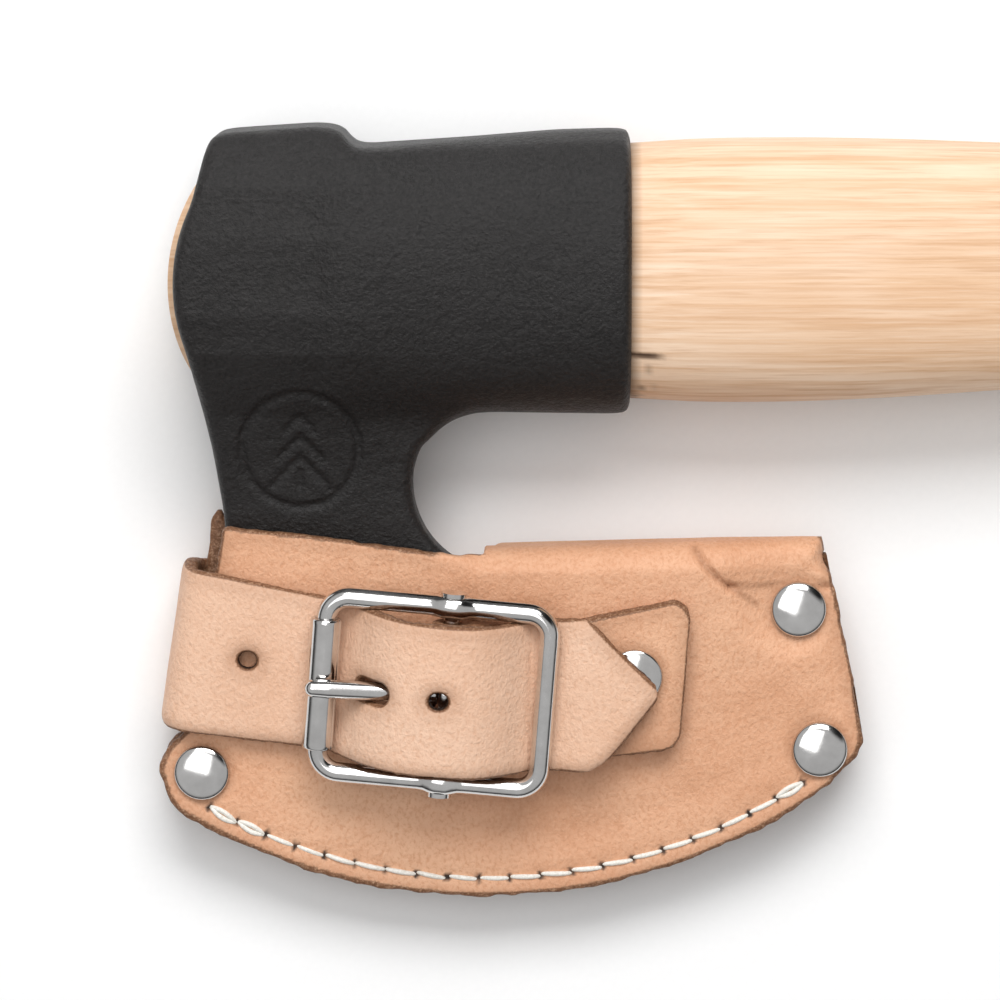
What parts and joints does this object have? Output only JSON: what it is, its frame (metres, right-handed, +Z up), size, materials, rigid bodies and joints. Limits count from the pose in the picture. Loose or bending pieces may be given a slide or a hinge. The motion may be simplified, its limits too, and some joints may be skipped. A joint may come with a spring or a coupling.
{
  "type": "felling axe with leather sheath",
  "caption": "Felling axe with a black bearded head and wooden handle, its blade in a folded leather sheath closed by a strap and roller buckle.",
  "frame": {"origin": "centre of the bounding box on the floor, with the axe lying on its side", "axes": "+X along the handle away from the head, +Y from the cutting edge to the poll, +Z up from the floor"},
  "size_m": [0.6416, 0.1234, 0.0346],
  "materials": {
    "black_steel": "matte black forged scale, fine grain",
    "birch": "oiled pale birch with fine grain along the handle",
    "wedge_wood": "plain sawn hardwood",
    "plain_steel": "plain rolled steel",
    "natural_leather": "natural vegetable-tanned leather with brown raw edges",
    "dark_leather": "raw brown cut edges and flesh side",
    "pale_leather": "paler natural strap leather",
    "waxed_thread": "white waxed twisted thread",
    "nickel": "polished nickel plate"
  },
  "bodies": {
    "axe": {"axe_head": "black_steel", "handle": "birch", "eye_wedge": "wedge_wood", "steel_wedge": "plain_steel"},
    "sheath": {"sheath_leather": "natural_leather", "sheath_welt": "dark_leather", "seam_thread": "waxed_thread", "toe_rivet_cap": "nickel", "toe_rivet_post": "nickel", "upper_heel_rivet_cap": "nickel", "upper_heel_rivet_post": "nickel", "lower_heel_rivet_cap": "nickel", "lower_heel_rivet_post": "nickel", "tab_rivet_cap": "nickel", "tab_rivet_post": "nickel", "strap_rivet_cap": "nickel", "strap_rivet_post": "nickel", "buckle_tab": "natural_leather"},
    "strap_end": {"closure_strap": "pale_leather"},
    "buckle": {"buckle_frame": "nickel", "buckle_bar": "nickel"},
    "roller": {"buckle_roller": "nickel"},
    "tongue": {"buckle_tongue": "nickel"}
  },
  "joints": [
    {"name": "sheath_off", "type": "slide", "parent": "axe", "child": "sheath", "axis": [0.9336, -0.3564, -0.0375], "range_m": [0, 0.11]},
    {"name": "strap_open", "type": "hinge", "parent": "sheath", "child": "strap_end", "pos_m": [-0.3162, -0.02038, 0.00518], "axis": [-0.1483, -0.9835, -0.1034], "range_deg": [0, 120], "deforming": ["closure_strap"]},
    {"name": "buckle_swing", "type": "hinge", "parent": "sheath", "child": "buckle", "pos_m": [-0.2752, -0.02911, 0.02382], "axis": [0.0767, 0.9782, 0.1932], "range_deg": [0, 7.3]},
    {"name": "roller_spin", "type": "hinge", "parent": "buckle", "child": "roller", "pos_m": [-0.29479, -0.02736, 0.02276], "axis": [0.0767, 0.9782, 0.1932], "continuous": true},
    {"name": "tongue_lift", "type": "hinge", "parent": "buckle", "child": "tongue", "pos_m": [-0.2752, -0.02911, 0.02382], "axis": [0.0767, 0.9782, 0.1932], "range_deg": [0, 97]}
  ],
  "couplings": [
    {"joint": "tongue_lift", "follows": "strap_open", "ratio": 0.8},
    {"joint": "buckle_swing", "follows": "strap_open", "ratio": 0.06}
  ]
}
